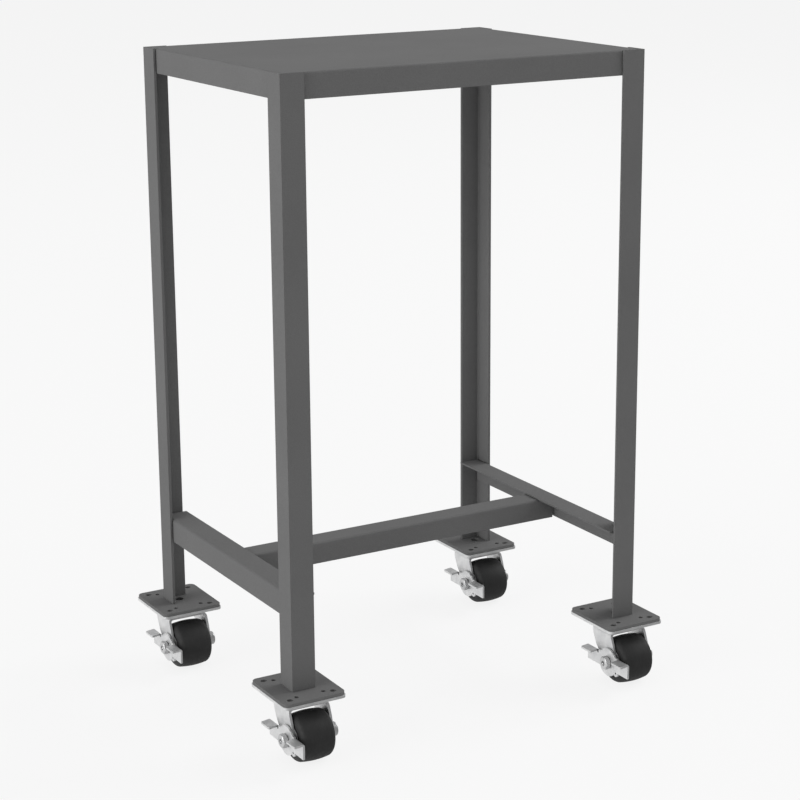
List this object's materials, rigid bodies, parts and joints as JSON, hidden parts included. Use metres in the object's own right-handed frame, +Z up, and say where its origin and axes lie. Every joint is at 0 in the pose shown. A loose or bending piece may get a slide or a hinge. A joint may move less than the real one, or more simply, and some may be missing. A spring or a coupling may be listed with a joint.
{
  "type": "mobile workbench",
  "caption": "Small mobile workbench: sheet steel top with apron, angle legs, side rails with a stretcher, and swivel casters with rocker side brakes under slotted plates.",
  "frame": {"origin": "on the floor, under the middle of the space the bench takes with its casters trailing to the front", "axes": "+Z up, -Y the front of the bench, +X to the right seen from the front"},
  "size_m": [0.6856, 0.573, 1.0142],
  "materials": {
    "paint": "satin textured powder coat",
    "zinc": "bright zinc plate",
    "steel": "plain turned steel",
    "tread": "hard black rubber"
  },
  "bodies": {
    "bench": {"worktop": "paint", "rail_left": "paint", "rail_right": "paint", "stretcher": "paint", "kingpins": "steel", "leg_front_left": "paint", "foot_plate_front_left": "paint", "caster_plate_front_left": "zinc", "leg_front_right": "paint", "foot_plate_front_right": "paint", "caster_plate_front_right": "zinc", "leg_rear_right": "paint", "foot_plate_rear_right": "paint", "caster_plate_rear_right": "zinc", "leg_rear_left": "paint", "foot_plate_rear_left": "paint", "caster_plate_rear_left": "zinc"},
    "front_left_swivel": {"fork_front_left": "zinc", "axle_bolt_front_left": "steel", "axle_nut_front_left": "zinc", "axle_washers_front_left": "steel", "swivel_balls_front_left": "steel"},
    "front_left_wheel": {"wheel_front_left": "tread", "wheel_bush_front_left": "steel"},
    "front_left_brake": {"brake_lever_front_left": "zinc"},
    "front_right_swivel": {"fork_front_right": "zinc", "axle_bolt_front_right": "steel", "axle_nut_front_right": "zinc", "axle_washers_front_right": "steel", "swivel_balls_front_right": "steel"},
    "front_right_wheel": {"wheel_front_right": "tread", "wheel_bush_front_right": "steel"},
    "front_right_brake": {"brake_lever_front_right": "zinc"},
    "rear_right_swivel": {"fork_rear_right": "zinc", "axle_bolt_rear_right": "steel", "axle_nut_rear_right": "zinc", "axle_washers_rear_right": "steel", "swivel_balls_rear_right": "steel"},
    "rear_right_wheel": {"wheel_rear_right": "tread", "wheel_bush_rear_right": "steel"},
    "rear_right_brake": {"brake_lever_rear_right": "zinc"},
    "rear_left_swivel": {"fork_rear_left": "zinc", "axle_bolt_rear_left": "steel", "axle_nut_rear_left": "zinc", "axle_washers_rear_left": "steel", "swivel_balls_rear_left": "steel"},
    "rear_left_wheel": {"wheel_rear_left": "tread", "wheel_bush_rear_left": "steel"},
    "rear_left_brake": {"brake_lever_rear_left": "zinc"}
  },
  "joints": [
    {"name": "front_left_swivel", "type": "hinge", "parent": "bench", "child": "front_left_swivel", "pos_m": [-0.29051, -0.19969, 0.0998], "axis": [0, 0, 1], "continuous": true},
    {"name": "front_left_wheel_spin", "type": "hinge", "parent": "front_left_swivel", "child": "front_left_wheel", "pos_m": [-0.29051, -0.23209, 0.0381], "axis": [1, 0, 0], "continuous": true},
    {"name": "front_left_brake_rock", "type": "hinge", "parent": "front_left_swivel", "child": "front_left_brake", "pos_m": [-0.29051, -0.23209, 0.0381], "axis": [1, 0, 0], "range_deg": [-12, 12]},
    {"name": "front_right_swivel", "type": "hinge", "parent": "bench", "child": "front_right_swivel", "pos_m": [0.29051, -0.19969, 0.0998], "axis": [0, 0, 1], "continuous": true},
    {"name": "front_right_wheel_spin", "type": "hinge", "parent": "front_right_swivel", "child": "front_right_wheel", "pos_m": [0.29051, -0.23209, 0.0381], "axis": [1, 0, 0], "continuous": true},
    {"name": "front_right_brake_rock", "type": "hinge", "parent": "front_right_swivel", "child": "front_right_brake", "pos_m": [0.29051, -0.23209, 0.0381], "axis": [1, 0, 0], "range_deg": [-12, 12]},
    {"name": "rear_right_swivel", "type": "hinge", "parent": "bench", "child": "rear_right_swivel", "pos_m": [0.29051, 0.22893, 0.0998], "axis": [0, 0, 1], "continuous": true},
    {"name": "rear_right_wheel_spin", "type": "hinge", "parent": "rear_right_swivel", "child": "rear_right_wheel", "pos_m": [0.29051, 0.19653, 0.0381], "axis": [1, 0, 0], "continuous": true},
    {"name": "rear_right_brake_rock", "type": "hinge", "parent": "rear_right_swivel", "child": "rear_right_brake", "pos_m": [0.29051, 0.19653, 0.0381], "axis": [1, 0, 0], "range_deg": [-12, 12]},
    {"name": "rear_left_swivel", "type": "hinge", "parent": "bench", "child": "rear_left_swivel", "pos_m": [-0.29051, 0.22893, 0.0998], "axis": [0, 0, 1], "continuous": true},
    {"name": "rear_left_wheel_spin", "type": "hinge", "parent": "rear_left_swivel", "child": "rear_left_wheel", "pos_m": [-0.29051, 0.19653, 0.0381], "axis": [1, 0, 0], "continuous": true},
    {"name": "rear_left_brake_rock", "type": "hinge", "parent": "rear_left_swivel", "child": "rear_left_brake", "pos_m": [-0.29051, 0.19653, 0.0381], "axis": [1, 0, 0], "range_deg": [-12, 12]}
  ]
}
